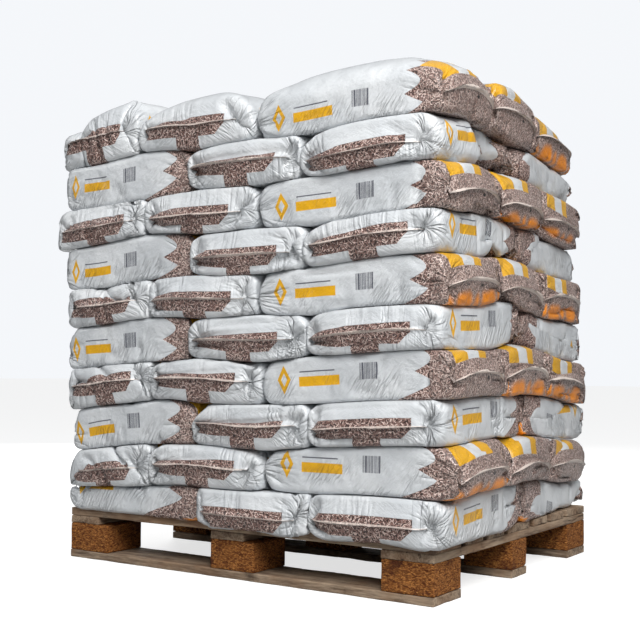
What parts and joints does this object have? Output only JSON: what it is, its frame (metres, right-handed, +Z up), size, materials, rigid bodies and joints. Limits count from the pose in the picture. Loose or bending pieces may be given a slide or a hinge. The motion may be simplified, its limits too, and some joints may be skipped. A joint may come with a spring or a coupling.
{
  "type": "pallet of sacks",
  "caption": "Loaded pallet: filled film sacks of wood pellets stacked in interlocking layers on a wooden block pallet that forks can enter from every side.",
  "frame": {"origin": "on the floor, under the middle of the pallet, at the underside of its middle runner", "axes": "+Z up. +X along the pallet's 1200 mm side, the way its runners and deck boards run. +Y along its 1000 mm side, away from the side that forks enter between the blocks of the front runner"},
  "size_m": [1.3541, 1.078, 1.365],
  "materials": {
    "sack_film": "semi-gloss printed film",
    "boards": "rough sawn, weathered",
    "blocks": "pressed wood chip"
  },
  "bodies": {
    "root": {"bottom_runner_front": "boards", "bottom_runner_middle": "boards", "bottom_runner_rear": "boards", "block_front_left": "blocks", "block_front_centre": "blocks", "block_front_right": "blocks", "block_middle_left": "blocks", "block_middle_centre": "blocks", "block_middle_right": "blocks", "block_rear_left": "blocks", "block_rear_centre": "blocks", "block_rear_right": "blocks", "stringer_left": "boards", "stringer_centre": "boards", "stringer_right": "boards", "deck_board_1": "boards", "deck_board_2": "boards", "deck_board_3": "boards", "deck_board_4": "boards", "deck_board_5": "boards", "deck_board_6": "boards", "deck_board_7": "boards", "sack_layer_01": "sack_film", "sack_layer_02": "sack_film", "sack_layer_03": "sack_film", "sack_layer_04": "sack_film", "sack_layer_05": "sack_film", "sack_layer_06": "sack_film", "sack_layer_07": "sack_film", "sack_layer_08": "sack_film", "sack_layer_09": "sack_film", "sack_layer_10": "sack_film"}
  },
  "joints": []
}
